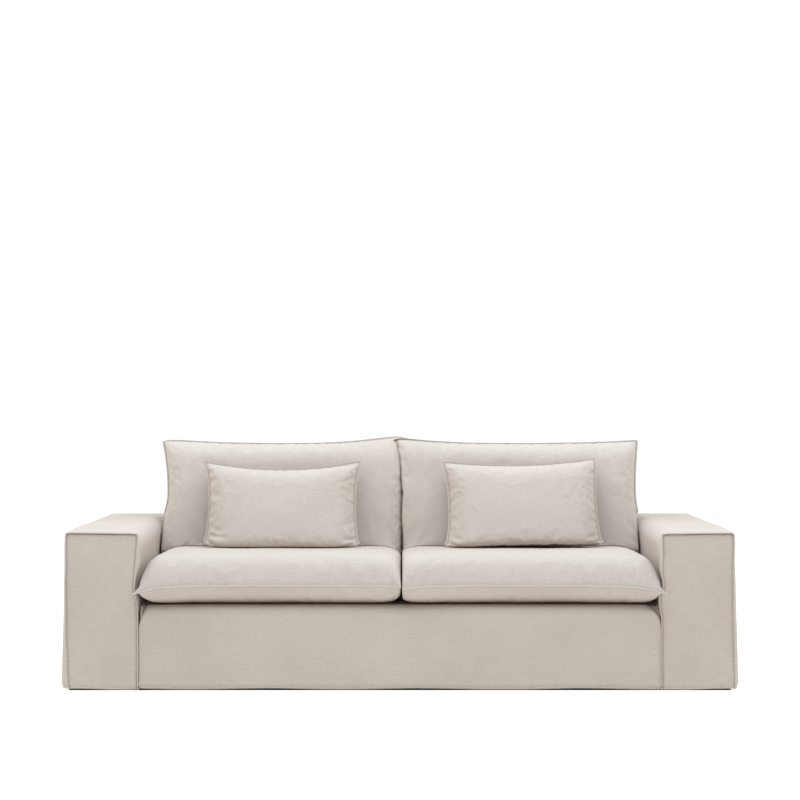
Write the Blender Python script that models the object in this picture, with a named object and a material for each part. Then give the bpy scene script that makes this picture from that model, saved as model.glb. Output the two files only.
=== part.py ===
"""Loose linen slipcover set of a three-seat slab-arm sofa, hanging as it does when fitted.

The body cover is hollow: sewn panels of cloth stand round the space that the sofa fills.
The filled cushions of the set lie on it: two for the seat, two for the back, two lumbar ones.
Units are metres, +Z is up, the seat faces -Y, and the origin is on the floor below the middle.
Each right-hand piece (at +X) is modelled first, and its left-hand twin is its mirror image.
"""

import math

import bmesh
import bpy
from mathutils import Matrix, Vector
from mathutils.bvhtree import BVHTree

# The cloth.
CLOTH = 0.0025              # thickness
SEAM_GAP = 0.0003           # clear gap between two sewn pieces
WELT_PROUD = 0.005          # a topstitched welt stands this far out of its panel
WELT_WIDE = 0.0035
HEM_DEEP = 0.028
HEM_STEP = 0.0012           # the turned-up hem stands out by one more layer
HEM_WAVE = 0.0018           # the hem dips and rises by this much
HEM_WAVE_LONG = 0.55

# The body cover, over the outside of the cloth. "In" and "out" are distances from the middle.
HALF_DEPTH = 0.525          # to the seat cushions' front seam, and to the outside back's welt
OVERHANG = 0.030            # the seat cushions reach this far past the arm fronts
FRONT_Y = -HALF_DEPTH + OVERHANG
BACK_Y = HALF_DEPTH - WELT_PROUD
ARM_IN = 0.922
ARM_OUT = 1.183
ARM_TOP = 0.560
DECK_TOP = 0.296            # the platform under the seat cushions
DECK_ROUND = 0.034
BORDER_RETURN = 0.120       # the front border runs this far back over the deck
BACK_TOP = 0.720
BACK_ROUND = 0.030
BACK_SPAN = 0.155           # the back's thickness at its top
RAKE = 0.035                # the inside back stands this much further forward at the deck
INSIDE_BACK_Y = BACK_Y - BACK_SPAN - RAKE
TURN_UNDER = 0.020          # a wall reaches this far below the top of the cloth that it meets
ARC_STEPS = 4

# One arm from the middle of the sofa outwards: up its inner side, over, and down its outer side.
# The seat cushion presses the inner side outwards, and the outer side flares towards the hem.
ARM_SECTION = (
    {"out": ARM_IN, "up": 0.000, "round": 0.0},
    {"out": ARM_IN, "up": HEM_DEEP, "round": 0.0},
    {"out": ARM_IN, "up": DECK_TOP - TURN_UNDER, "round": 0.0},
    {"out": ARM_IN + 0.007, "up": 0.370, "round": 0.0},
    {"out": ARM_IN + 0.005, "up": 0.455, "round": 0.0},
    {"out": ARM_IN, "up": ARM_TOP, "round": 0.026},
    {"out": ARM_OUT, "up": ARM_TOP, "round": 0.016},
    {"out": ARM_OUT + 0.007, "up": 0.360, "round": 0.0},
    {"out": ARM_OUT + 0.013, "up": 0.140, "round": 0.0},
    {"out": ARM_OUT + 0.016, "up": HEM_DEEP + 0.002, "round": 0.0},
    {"out": ARM_OUT + 0.017, "up": HEM_DEEP, "round": 0.0},
    {"out": ARM_OUT + 0.011, "up": 0.000, "round": 0.0},
)
ARM_WALL_START = 2          # the wrap begins at this row, and the arm's end panels at the first

BORDER_SECTION = (
    {"out": FRONT_Y - HEM_STEP + 0.003, "up": 0.000, "round": 0.0},
    {"out": FRONT_Y - HEM_STEP, "up": HEM_DEEP, "round": 0.0},
    {"out": FRONT_Y, "up": HEM_DEEP + 0.002, "round": 0.0},
    {"out": FRONT_Y, "up": DECK_TOP, "round": DECK_ROUND},
    {"out": FRONT_Y + BORDER_RETURN, "up": DECK_TOP, "round": 0.0},
)

BACK_SECTION = (
    {"out": INSIDE_BACK_Y, "up": DECK_TOP - TURN_UNDER, "round": 0.0},
    {"out": INSIDE_BACK_Y + RAKE, "up": BACK_TOP, "round": BACK_ROUND},
    {"out": BACK_Y - CLOTH - SEAM_GAP, "up": BACK_TOP, "round": 0.0},
)

PANEL_PITCH = 0.105         # the panels' mesh pitch

# Soft waves in the panels: how far each one lifts the cloth, and its length along and up.
WAVES = (
    {"lift": 0.0016, "along": 0.83, "up": 0.52, "phase": 0.4},
    {"lift": 0.0010, "along": 0.47, "up": 0.34, "phase": 2.1},
)
WAVE_FADE = 0.09            # the waves die out over this distance from a seam

# The cushions.
FLANGE_WIDE = 0.007         # the knife-edge seam's fin
FLANGE_THICK = 0.004
REST_GAP = 0.0006           # between a cushion and the flat cloth that it lies on
LEAN_GAP = 0.004            # between a cushion and the cushion that it lies or leans on
SIDE_GAP = 0.0015           # between a cushion and what it is squeezed against
SQUEEZE = 0.010             # a squeezed side gives way over this distance
EAR_POWER = 6               # an ear's own bend dies out quickly from the corner

# "in" is towards the middle and "out" towards the arm; "low" is the front end of a seat cushion.
# The crown is the upper or front face's height over the seam plane, and the belly the other's.
# Fullness is how square each of them is: a low number is a lens, and a high one nearly a box.
# The sides are drawn in between the corners, and each corner row moves that ear outwards, along
# the cushion's length, and off its seam plane.
SEAT_CUSHION = {
    "name": "seat_cushion", "columns": 14, "rows": 12,
    "half_wide": 0.4665, "half_long": 0.425, "lean": 90.0, "turn": 0.0,
    "middle": (0.461, -0.100, 0.369), "crown": 0.112, "belly": 0.072, "fullness": (12.0, 24.0),
    "draw_in": 0.000, "draw_out": 0.000, "draw_long": 0.010, "flatten_rear": 0.27,
    "corners": (
        {"side": "in", "end": "low", "out": 0.000, "along": 0.000, "off": -0.012},
        {"side": "out", "end": "low", "out": 0.017, "along": 0.000, "off": -0.031},
        {"side": "in", "end": "high", "out": 0.000, "along": 0.000, "off": -0.020},
        {"side": "out", "end": "high", "out": -0.006, "along": 0.000, "off": -0.020},
    ),
}
BACK_CUSHION = {
    "name": "back_cushion", "columns": 14, "rows": 10,
    "half_wide": 0.4815, "half_long": 0.219, "lean": 14.5, "turn": 0.0,
    "middle": (0.4640, 0.258, 0.650), "crown": 0.116, "belly": 0.100, "fullness": (8.0, 8.0),
    "draw_in": 0.004, "draw_out": 0.028, "draw_long": 0.010, "flatten_rear": 0.0,
    "corners": (
        {"side": "in", "end": "low", "out": -0.006, "along": 0.006, "off": 0.000},
        {"side": "out", "end": "low", "out": -0.026, "along": 0.006, "off": 0.000},
        {"side": "in", "end": "high", "out": 0.006, "along": 0.004, "off": 0.018},
        {"side": "out", "end": "high", "out": -0.002, "along": 0.004, "off": 0.000},
    ),
}
LUMBAR_CUSHION = {
    "name": "lumbar_cushion", "columns": 12, "rows": 8,
    "half_wide": 0.300, "half_long": 0.178, "lean": 20.0, "turn": 0.8,
    "middle": (0.462, 0.062, 0.622), "crown": 0.080, "belly": 0.072, "fullness": (4.6, 4.6),
    "draw_in": 0.022, "draw_out": 0.022, "draw_long": 0.024, "flatten_rear": 0.0,
    "corners": (
        {"side": "in", "end": "low", "out": -0.006, "along": 0.008, "off": 0.006},
        {"side": "out", "end": "low", "out": 0.012, "along": 0.008, "off": 0.006},
        {"side": "in", "end": "high", "out": 0.004, "along": 0.004, "off": 0.000},
        {"side": "out", "end": "high", "out": 0.000, "along": 0.006, "off": 0.000},
    ),
}
# The inner top ears of the back cushions cross: the left-hand one stands behind the other.
EAR_CROSSING = 0.018
EAR_LOW = 0.845
EAR_HIGH = 0.875
# How the left-hand cushions differ from the mirror image of the right-hand ones.
LEFT_LUMBAR_MIDDLE = (0.447, 0.062, 0.620)
LEFT_BACK_INNER_EAR = {"side": "in", "end": "high", "out": 0.010, "along": 0.024, "off": -0.026}

LINEN_COLOUR = (0.71, 0.65, 0.58, 1.0)
LINEN_ROUGHNESS = 0.9


def clear_scene():
    for thing in list(bpy.data.objects):
        bpy.data.objects.remove(thing)


def linen(name):
    """Unbleached woven linen: matt, and no metal."""
    cloth = bpy.data.materials.new(name + "_linen")
    cloth.use_nodes = True
    shader = cloth.node_tree.nodes["Principled BSDF"]
    shader.inputs["Base Color"].default_value = LINEN_COLOUR
    shader.inputs["Roughness"].default_value = LINEN_ROUGHNESS
    shader.inputs["Metallic"].default_value = 0.0
    return cloth


def add_object(name, bm):
    """The mesh as a named object in its own linen, shaded smooth but for its sharp edges."""
    mesh = bpy.data.meshes.new(name)
    bm.to_mesh(mesh)
    bm.free()
    mesh.materials.append(linen(name))
    mesh.shade_smooth()
    mesh.set_sharp_from_angle(angle=math.radians(40))
    thing = bpy.data.objects.new(name, mesh)
    bpy.context.scene.collection.objects.link(thing)
    return thing


def side_name(name, side):
    return name + ("_right" if side > 0 else "_left")


def mirror_for(bm, side):
    """Turns a right-hand piece into its left-hand twin where side is -1."""
    if side < 0:
        bmesh.ops.scale(bm, vec=(-1, 1, 1), verts=bm.verts)
        bmesh.ops.reverse_faces(bm, faces=bm.faces)


def smooth(low, high, value):
    """0 at low and 1 at high, with a soft start and end."""
    share = min(1.0, max(0.0, (value - low) / (high - low)))
    return share * share * (3 - 2 * share)


def stops(start, end, pitch=PANEL_PITCH):
    """Even positions from start to end, about a pitch apart."""
    count = max(1, round(abs(end - start) / pitch))
    return [start + (end - start) * i / count for i in range(count + 1)]


def uneven(along, up):
    """How far the hanging cloth stands off its flat form at this place."""
    return sum(
        wave["lift"]
        * math.sin(2 * math.pi * along / wave["along"] + wave["phase"])
        * math.cos(2 * math.pi * up / wave["up"] + wave["phase"])
        for wave in WAVES
    )


def hem_rise(along):
    """How far the hem is off the floor at this place along it."""
    return HEM_WAVE * (1.2 + math.sin(2 * math.pi * along / HEM_WAVE_LONG))


# ---- the body cover --------------------------------------------------------------------------

def section_points(rows, pitch=PANEL_PITCH):
    """The points of a section, with its round corners as arcs and its long runs divided."""
    corners = [Vector((row["out"], row["up"])) for row in rows]
    points = [corners[0]]
    for i in range(1, len(rows)):
        radius = rows[i]["round"]
        if radius == 0:
            points += divided(points[-1], corners[i], pitch)
            continue
        back = (corners[i - 1] - corners[i]).normalized()
        ahead = (corners[i + 1] - corners[i]).normalized()
        half_turn = back.angle(ahead) / 2
        centre = corners[i] + (back + ahead).normalized() * radius / math.sin(half_turn)
        reach = radius / math.tan(half_turn)
        first = corners[i] + back * reach - centre
        last = corners[i] + ahead * reach - centre
        points += divided(points[-1], centre + first, pitch)
        for step in range(1, ARC_STEPS + 1):
            spoke = first.slerp(last, step / ARC_STEPS).normalized()
            points.append(centre + spoke * radius)
    return points


def divided(start, end, pitch):
    count = max(1, round((end - start).length / pitch))
    return [start.lerp(end, i / count) for i in range(1, count + 1)]


def swept_sheet(points, stations, place):
    """A sheet with one column for each section point and one row for each station."""
    bm = bmesh.new()
    columns, rows = len(points) - 1, len(stations) - 1
    bmesh.ops.create_grid(bm, x_segments=columns, y_segments=rows, size=1)
    for v in bm.verts:
        point = points[round((v.co.x + 1) / 2 * columns)]
        station = stations[round((v.co.y + 1) / 2 * rows)]
        v.co = place(point, station)
    return bm


def make_waves(bm, seams):
    """Lifts the cloth off its flat form, but not along its seams.

    seams(co) is the distance to the nearest seam.
    """
    bm.normal_update()
    for v in bm.verts:
        fade = smooth(0, WAVE_FADE, seams(v.co))
        v.co += v.normal * uneven(v.co.x + v.co.y, v.co.z) * fade


def settle_hem(bm):
    for v in bm.verts:
        if v.co.z < HEM_DEEP / 2:
            v.co.z += hem_rise(v.co.x + v.co.y)


def add_thickness(thing):
    cloth = thing.modifiers.new("cloth_thickness", "SOLIDIFY")
    cloth.thickness = CLOTH
    cloth.offset = -1
    cloth.use_even_offset = True


def arm_wrap(side):
    """Inner side, top and outer side of an arm in one length of cloth.

    Behind the inside back there is no inner side: the hollow of the back opens into the arm.
    """
    start, end = FRONT_Y + CLOTH + SEAM_GAP, BACK_Y - CLOTH - SEAM_GAP
    notch = INSIDE_BACK_Y + RAKE + TURN_UNDER / 2
    stations = stops(start, notch) + stops(notch, end)[1:]
    bm = swept_sheet(
        section_points(ARM_SECTION[ARM_WALL_START:]), stations,
        lambda point, y: Vector((point.x, y, point.y)),
    )
    behind = [
        f for f in bm.faces
        if f.calc_center_median().y > notch and f.calc_center_median().x < ARM_IN + 0.02
        and f.calc_center_median().z < ARM_TOP - 0.026
    ]
    bmesh.ops.delete(bm, geom=behind, context="FACES")
    make_waves(bm, lambda co: min(co.y - start, end - co.y, 2 * co.z, co.x - ARM_IN - 0.03))
    settle_hem(bm)
    mirror_for(bm, side)
    add_thickness(add_object(side_name("arm_wrap", side), bm))


def front_border():
    """From the hem up the front, over the edge of the seat, and a little way back."""
    reach = ARM_IN - SEAM_GAP
    bm = swept_sheet(
        section_points(BORDER_SECTION), stops(reach, -reach),
        lambda point, x: Vector((x, point.x, point.y)),
    )
    make_waves(bm, lambda co: min(reach - abs(co.x), DECK_TOP - DECK_ROUND - co.z, co.z))
    settle_hem(bm)
    add_thickness(add_object("front_border", bm))


def inside_back():
    """Up from behind the deck and over the top of the back, to the seam at the rear."""
    reach = ARM_IN - CLOTH - 2 * SEAM_GAP
    bm = swept_sheet(
        section_points(BACK_SECTION), stops(reach, -reach),
        lambda point, x: Vector((x, point.x, point.y)),
    )
    add_thickness(add_object("inside_back", bm))


def deck():
    """The flat platform cloth under the seat cushions."""
    reach = ARM_IN - SEAM_GAP
    front = FRONT_Y + BORDER_RETURN + SEAM_GAP
    rear = INSIDE_BACK_Y - SEAM_GAP
    bm = swept_sheet(
        [Vector((-reach, 0)), Vector((reach, 0))], [front, rear],
        lambda point, y: Vector((point.x, y, DECK_TOP)),
    )
    add_thickness(add_object("deck", bm))


def panel(outline, cuts_across, cuts_up, frame, welted, waves):
    """A flat piece with a thickness, and a welt along its sewn edges where it has one.

    The outline lies in the plane of the frame's first two axes, and the third points out.
    """
    bm = bmesh.new()
    face = bm.faces.new([bm.verts.new((point.x, point.y, 0)) for point in outline])
    face.normal_update()
    if face.normal.z < 0:
        face.normal_flip()
    for axis, cuts in ((Vector((1, 0, 0)), cuts_across), (Vector((0, 1, 0)), cuts_up)):
        for cut in cuts:
            everything = bm.verts[:] + bm.edges[:] + bm.faces[:]
            bmesh.ops.bisect_plane(bm, geom=everything, plane_co=axis * cut, plane_no=axis)
    front = bm.faces[:]
    rim = []
    if welted:
        rim = bmesh.ops.inset_region(
            bm, faces=front, thickness=WELT_WIDE, use_boundary=True, use_even_offset=True
        )["faces"]
    if waves:
        low = min(v.co.x for v in bm.verts)
        high = max(v.co.x for v in bm.verts)
        top = max(v.co.y for v in bm.verts)
        for v in bm.verts:
            fade = smooth(0, WAVE_FADE, min(v.co.x - low, high - v.co.x, top - v.co.y))
            v.co.z += uneven(v.co.x, v.co.y) * fade
    copied = bmesh.ops.extrude_face_region(bm, geom=bm.faces[:], use_keep_orig=True)["geom"]
    back_points = [item for item in copied if isinstance(item, bmesh.types.BMVert)]
    bmesh.ops.translate(bm, vec=(0, 0, -CLOTH), verts=back_points)
    bmesh.ops.recalc_face_normals(bm, faces=bm.faces)
    proud = [f for f in rim if f.calc_center_median().y > WELT_WIDE]
    if proud:
        proud_edges = list({e for f in proud for e in f.edges})
        raised = bmesh.ops.extrude_face_region(bm, geom=proud + proud_edges)["geom"]
        ridge = [item for item in raised if isinstance(item, bmesh.types.BMVert)]
        bmesh.ops.translate(bm, vec=(0, 0, WELT_PROUD), verts=ridge)
    bmesh.ops.transform(bm, matrix=frame, verts=bm.verts)
    return bm


def panel_frame(across, up, out, origin):
    """The matrix of a panel whose own axes point along these world axes."""
    turn = Matrix((across, up, out)).transposed().to_4x4()
    return Matrix.Translation(origin) @ turn


def arm_end(name, side, out, y):
    """The panel on an arm's front or back end, with its welt up both sides and over the top."""
    outline = section_points(ARM_SECTION)
    across = Vector((0, 0, 1)).cross(out)
    flip = across.x
    if flip < 0:
        outline = [Vector((-point.x, point.y)) for point in outline]
    width_cuts = [flip * x for x in stops(ARM_IN, ARM_OUT)[1:-1]]
    up_cuts = [HEM_DEEP] + stops(HEM_DEEP, ARM_TOP)[1:-1]
    frame = panel_frame(across, Vector((0, 0, 1)), out, Vector((0, y, 0)))
    bm = panel(outline, width_cuts, up_cuts, frame, True, True)
    settle_hem(bm)
    mirror_for(bm, side)
    add_object(side_name(name, side), bm)


def back_gusset(side):
    """The end of the back, standing above the arm."""
    outline = section_points(BACK_SECTION, pitch=1.0)
    foot = ARM_TOP - TURN_UNDER
    share = (foot - outline[0].y) / (outline[1].y - outline[0].y)
    outline[0] = outline[0].lerp(outline[1], share)
    outline.append(Vector((outline[-1].x, foot)))
    frame = panel_frame(
        Vector((0, 1, 0)), Vector((0, 0, 1)), Vector((1, 0, 0)), Vector((ARM_IN - SEAM_GAP, 0, 0))
    )
    bm = panel(outline, [], [], frame, False, False)
    mirror_for(bm, side)
    add_object(side_name("back_gusset", side), bm)


def outside_back():
    """The panel down the back of the cover, between the arms' end panels."""
    reach = ARM_IN - SEAM_GAP
    corners = ((-reach, 0), (-reach, BACK_TOP), (reach, BACK_TOP), (reach, 0))
    outline = [Vector(corner) for corner in corners]
    frame = panel_frame(
        Vector((-1, 0, 0)), Vector((0, 0, 1)), Vector((0, 1, 0)), Vector((0, BACK_Y, 0))
    )
    up_cuts = [HEM_DEEP] + stops(HEM_DEEP, BACK_TOP)[1:-1]
    bm = panel(outline, stops(-reach, reach)[1:-1], up_cuts, frame, True, True)
    settle_hem(bm)
    add_object("outside_back", bm)


# ---- the cushions ----------------------------------------------------------------------------

def seam_spacing(step, steps, flange_share):
    """Grid positions from -1 to 1: one step for each flange, then closer near the seams."""
    inner = 1 - 2 / steps
    if abs(step) > inner + 0.5 / steps:
        return math.copysign(1.0, step)
    return (1 - flange_share) * math.sin(math.pi / 2 * step / inner)


def puff(share, flange_share, power):
    """0 on the flange, rising steeply from the seam to 1 over the middle."""
    inward = min(1.0, abs(share) / (1 - flange_share))
    return (1 - inward ** power) ** (1 / 1.1)


def soft_limit(value, limit):
    """Keeps a value below its limit: it gives way over the last stretch, like a pressed side."""
    knee = limit - SQUEEZE
    if value <= knee:
        return value
    return knee + SQUEEZE * (1 - math.exp((knee - value) / SQUEEZE))


def cushion(shape, side, settle, lies_on, leans_on):
    """A filled cushion with a knife-edge seam, its crown, and its sides drawn in between ears.

    settle(co) squeezes a point in between the flat cloth around it. The last two are the
    surfaces of the cushions under and behind it.
    """
    lean, turn = math.radians(shape["lean"]), math.radians(shape["turn"])
    frame = panel_frame(
        Vector((1, 0, 0)), Vector((0, math.sin(lean), math.cos(lean))),
        Vector((0, -math.cos(lean), math.sin(lean))), Vector(shape["middle"]),
    ) @ Matrix.Rotation(turn, 4, "Z")
    bm = bmesh.new()
    rims = []
    for face_side in (1, -1):
        made = bmesh.ops.create_grid(
            bm, x_segments=shape["columns"], y_segments=shape["rows"], size=1
        )["verts"]
        faces = {f for v in made for f in v.link_faces}
        if face_side < 0:
            bmesh.ops.reverse_faces(bm, faces=list(faces))
        rims += [e for f in faces for e in f.edges if len(e.link_faces) == 1]
        for v in made:
            v.co = frame @ cushion_point(shape, v.co.x, v.co.y, face_side)
            settle(v.co)
    bmesh.ops.bridge_loops(bm, edges=rims)
    bmesh.ops.recalc_face_normals(bm, faces=bm.faces)
    mirror_for(bm, side)
    for surface in lies_on:
        press_against(bm, surface, Vector((0, 0, -1)))
    for surface in leans_on:
        press_against(bm, surface, Vector((0, 1, 0)))
    surface = BVHTree.FromBMesh(bm)
    add_object(side_name(shape["name"], side), bm)
    return surface


def cushion_point(shape, step_u, step_v, face_side):
    """A point of a cushion's front (1) or rear (-1) face, in the cushion's own frame."""
    depth = shape["crown"] if face_side > 0 else shape["belly"]
    power = shape["fullness"][0 if face_side > 0 else 1]
    wide, long = shape["half_wide"], shape["half_long"]
    flange_u, flange_v = FLANGE_WIDE / wide, FLANGE_WIDE / long
    u = seam_spacing(step_u, shape["columns"], flange_u)
    v = seam_spacing(step_v, shape["rows"], flange_v)
    rise = puff(u, flange_u, power) * puff(v, flange_v, power)
    if face_side > 0:
        rise *= 1 - shape["flatten_rear"] * smooth(-0.75, 0.75, v)
    draw_wide = shape["draw_out"] if u > 0 else shape["draw_in"]
    point = Vector((
        u * (wide - draw_wide * (1 - v * v)),
        v * (long - shape["draw_long"] * (1 - u * u)),
        face_side * (FLANGE_THICK / 2 + depth * rise),
    ))
    for corner in shape["corners"]:
        across = 1 if corner["side"] == "out" else -1
        end = 1 if corner["end"] == "high" else -1
        near = (max(0.0, u * across) * max(0.0, v * end)) ** EAR_POWER
        point.x += across * corner["out"] * near
        point.y += end * corner["along"] * near
        point.z += corner["off"] * near
    return point


def press_against(bm, surface, toward):
    """Flattens a cushion where it lies or leans, in the direction toward, on another's surface."""
    for v in bm.verts:
        place = surface.ray_cast(v.co - toward, toward)[0]
        if place:
            limit = place.dot(toward) - LEAN_GAP
            reach = v.co.dot(toward)
            v.co += toward * (soft_limit(reach, limit) - reach)


def settle_seat(co):
    """The seat cushions lie on the deck, between the arms and each other."""
    co.z = max(co.z, DECK_TOP + REST_GAP)
    co.x = -soft_limit(-co.x, -SIDE_GAP)
    if co.y > FRONT_Y - 2 * WELT_PROUD:
        co.x = soft_limit(co.x, ARM_IN - SIDE_GAP)


def settle_back(co):
    """The back cushions lean on the inside back, and stand between the arms up to their tops."""
    rake_share = (co.z - DECK_TOP) / (BACK_TOP - DECK_TOP)
    co.y = min(co.y, INSIDE_BACK_Y + RAKE * rake_share - LEAN_GAP)
    crossing = EAR_CROSSING * smooth(EAR_LOW, EAR_HIGH, co.z)
    co.x = -soft_limit(-co.x, crossing - SIDE_GAP)
    if co.z < ARM_TOP + 0.02:
        co.x = soft_limit(co.x, ARM_IN - SIDE_GAP)


def all_cushions():
    seats = [cushion(SEAT_CUSHION, side, settle_seat, [], []) for side in (1, -1)]

    left_back = dict(BACK_CUSHION)
    left_back["corners"] = tuple(
        LEFT_BACK_INNER_EAR if (row["side"], row["end"]) == ("in", "high") else row
        for row in BACK_CUSHION["corners"]
    )
    backs = [
        cushion(BACK_CUSHION, 1, settle_back, seats, []),
        cushion(left_back, -1, settle_back, seats, []),
    ]

    left_lumbar = dict(LUMBAR_CUSHION, middle=LEFT_LUMBAR_MIDDLE)
    cushion(LUMBAR_CUSHION, 1, lambda co: None, seats, backs)
    cushion(left_lumbar, -1, lambda co: None, seats, backs)


def body_cover():
    for side in (1, -1):
        arm_end("arm_front", side, Vector((0, -1, 0)), FRONT_Y)
        arm_end("arm_back", side, Vector((0, 1, 0)), BACK_Y)
        arm_wrap(side)
        back_gusset(side)
    front_border()
    deck()
    inside_back()
    outside_back()


clear_scene()
body_cover()
all_cushions()
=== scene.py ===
import math

import bmesh
import bpy
from mathutils import Matrix, Vector, noise
from mathutils.bvhtree import BVHTree


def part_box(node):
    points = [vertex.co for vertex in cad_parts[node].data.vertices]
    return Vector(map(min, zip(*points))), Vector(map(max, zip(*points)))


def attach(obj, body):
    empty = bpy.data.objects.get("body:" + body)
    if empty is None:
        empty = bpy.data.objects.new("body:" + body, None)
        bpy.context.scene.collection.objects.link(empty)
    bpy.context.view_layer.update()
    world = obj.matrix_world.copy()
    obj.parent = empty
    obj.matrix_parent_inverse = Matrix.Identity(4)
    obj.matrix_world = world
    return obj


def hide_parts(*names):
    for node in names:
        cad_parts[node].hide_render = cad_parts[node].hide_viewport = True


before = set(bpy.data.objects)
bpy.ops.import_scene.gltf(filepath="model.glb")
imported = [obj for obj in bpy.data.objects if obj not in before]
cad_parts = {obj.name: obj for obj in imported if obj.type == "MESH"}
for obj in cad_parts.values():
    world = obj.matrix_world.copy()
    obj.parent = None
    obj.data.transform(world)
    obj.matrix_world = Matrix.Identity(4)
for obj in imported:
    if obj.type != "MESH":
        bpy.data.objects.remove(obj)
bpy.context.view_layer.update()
scene = bpy.context.scene
noise.seed_set(1)  # noise vectors are offset by it, or else by the time of day

# Everything but the creases is in metres, +Z up, with the seat facing -Y. Right-hand pieces (+X)
# are made first, and a left-hand one is the mirror image with its own unevenness.

cloth = {
    "thick": 0.0012,  # one layer of linen
    "cadThick": 0.0025,  # the solids' stand-in thickness, which sets where the seams lie
    "seamGap": 0.0003,
    "pitch": 0.013,  # mesh pitch of the body cover
    "seamPitch": 0.003,  # and beside its seams
    "seamGrowth": 1.3,  # from one step to the next
    "backPitch": 0.018,
    "coarsePitch": 0.03,  # hidden pieces, and outlines
    "arcSteps": 6,
    "inset": 0.016,  # a welted panel's mesh starts inside its fin
    "overCut": 0.03,  # and runs on below the floor, where it is cut off, fin and all
    "waves": (  # how the hanging cloth stands off its flat form
        {"lift": 0.0016, "along": 0.83, "up": 0.52, "phase": 0.4},
        {"lift": 0.001, "along": 0.47, "up": 0.34, "phase": 2.1},
    ),
    "waveFade": 0.09,
}

cover = {  # over the outside of the cloth; In and Out are from the middle
    "frontY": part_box("arm_wrap_right")[0].y - cloth["cadThick"] - cloth["seamGap"],
    "backY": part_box("arm_wrap_right")[1].y + cloth["cadThick"] + cloth["seamGap"],
    "deckTop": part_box("deck")[1].z,
    "backTop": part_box("inside_back")[1].z,
    "armIn": 0.922,
    "armOut": 1.183,
    "armTop": 0.56,
    "armRound": 0.026,
    "outerRound": 0.016,
    "backRound": 0.03,
    "backSpan": 0.155,  # the back's thickness at its top
    "rake": 0.035,  # the inside back stands this much further forward at the deck
    "deckRound": 0.034,
    "borderReturn": 0.12,  # the front border runs this far back over the deck
    "turnUnder": 0.02,
}
cover["insideBackY"] = cover["backY"] - cover["backSpan"] - cover["rake"]
cover["rearY"] = cover["backY"] - cloth["cadThick"] - cloth["seamGap"]
cover["reach"] = cover["armIn"] - cloth["seamGap"]  # of the panels between the arms
cover["backFoot"] = cover["deckTop"] - cover["turnUnder"]

hem = {
    "deep": 0.028,
    "gap": 0.0026,  # mean height over the floor
    "least": 0.0005,
    "wave": 0.0024,
    "waveLong": 0.55,
    "wander": 0.6,  # and how far the wave strays from even
    "wanderScale": 3.1,
    "lip": (  # height and out: rolled edge, stitched groove and turned-up band
        (0, -0.0008), (0.0028, 0.0012), (0.0062, 0.0009), (0.009, -0.001),
        (0.013, 0.0003), (0.02, 0.0004), (0.028, 0),
    ),
}
xAxis, yAxis, zAxis = (Vector(row) for row in Matrix.Identity(3))


def smooth(low, high, value):
    share = min(1.0, max(0.0, (value - low) / (high - low)))
    return share * share * (3 - 2 * share)


def between(rows, value):  # a table of pairs, eased from row to row
    if value <= rows[0][0]:
        return rows[0][1]
    for (low, start), (high, end) in zip(rows, rows[1:]):
        if value <= high:
            return start + (end - start) * smooth(low, high, value)
    return rows[-1][1]


def stops(start, end, pitch):
    count = max(1, round(abs(end - start) / pitch))
    return [start + (end - start) * i / count for i in range(count + 1)]


def seamStops(start, end, pitch=cloth["pitch"], fine=cloth["seamPitch"]):  # closer near both ends
    way = 1 if end > start else -1
    offsets, step = [0.0], fine
    while step < pitch:
        offsets.append(offsets[-1] + step)
        step *= cloth["seamGrowth"]
    near = [start + way * offset for offset in offsets]
    far = [end - way * offset for offset in reversed(offsets)]
    return near[:-1] + stops(near[-1], far[0], pitch) + far[1:]


def cloud(x, y, z):
    return noise.noise(Vector((x, y, z)))


def uneven(along, up):
    return sum(
        wave["lift"]
        * math.sin(2 * math.pi * along / wave["along"] + wave["phase"])
        * math.cos(2 * math.pi * up / wave["up"] + wave["phase"])
        for wave in cloth["waves"]
    )


def hemRise(along):
    wander = cloud(along * hem["wanderScale"], 4.7, 0.0) * hem["wander"]
    swell = math.sin(2 * math.pi * along / hem["waveLong"]) + wander
    return max(hem["least"], hem["gap"] + hem["wave"] * swell)


def hexColour(code):  # sRGB hex to linear
    channels = [int(code[i:i + 2], 16) / 255 for i in (1, 3, 5)]
    linear = [c / 12.92 if c <= 0.04045 else ((c + 0.055) / 1.055) ** 2.4 for c in channels]
    return (*linear, 1.0)


def addNode(tree, kind, values):  # sockets are linked, and anything else is set
    node = tree.nodes.new("ShaderNode" + kind)
    for key, value in values.items():
        if isinstance(value, bpy.types.NodeSocket):
            tree.links.new(value, node.inputs[key])
        elif isinstance(key, int) or key in node.inputs:
            node.inputs[key].default_value = value
        else:
            setattr(node, key, value)
    return node


def maths(tree, operation, *values):
    values = {"operation": operation, **dict(enumerate(values))}
    return addNode(tree, "Math", values).outputs[0]


def mapped(tree, value, band, low, high, kind="LINEAR"):
    return addNode(tree, "MapRange", {
        "interpolation_type": kind, "Value": value, "From Min": band[0], "From Max": band[1],
        "To Min": low, "To Max": high,
    }).outputs[0]


def matt(name, inputs):  # a material with these values in its one shader
    material = bpy.data.materials.new(name)
    material.use_nodes = True
    shader = material.node_tree.nodes["Principled BSDF"]
    for key, value in inputs.items():
        shader.inputs[key].default_value = value
    return material, shader


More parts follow.
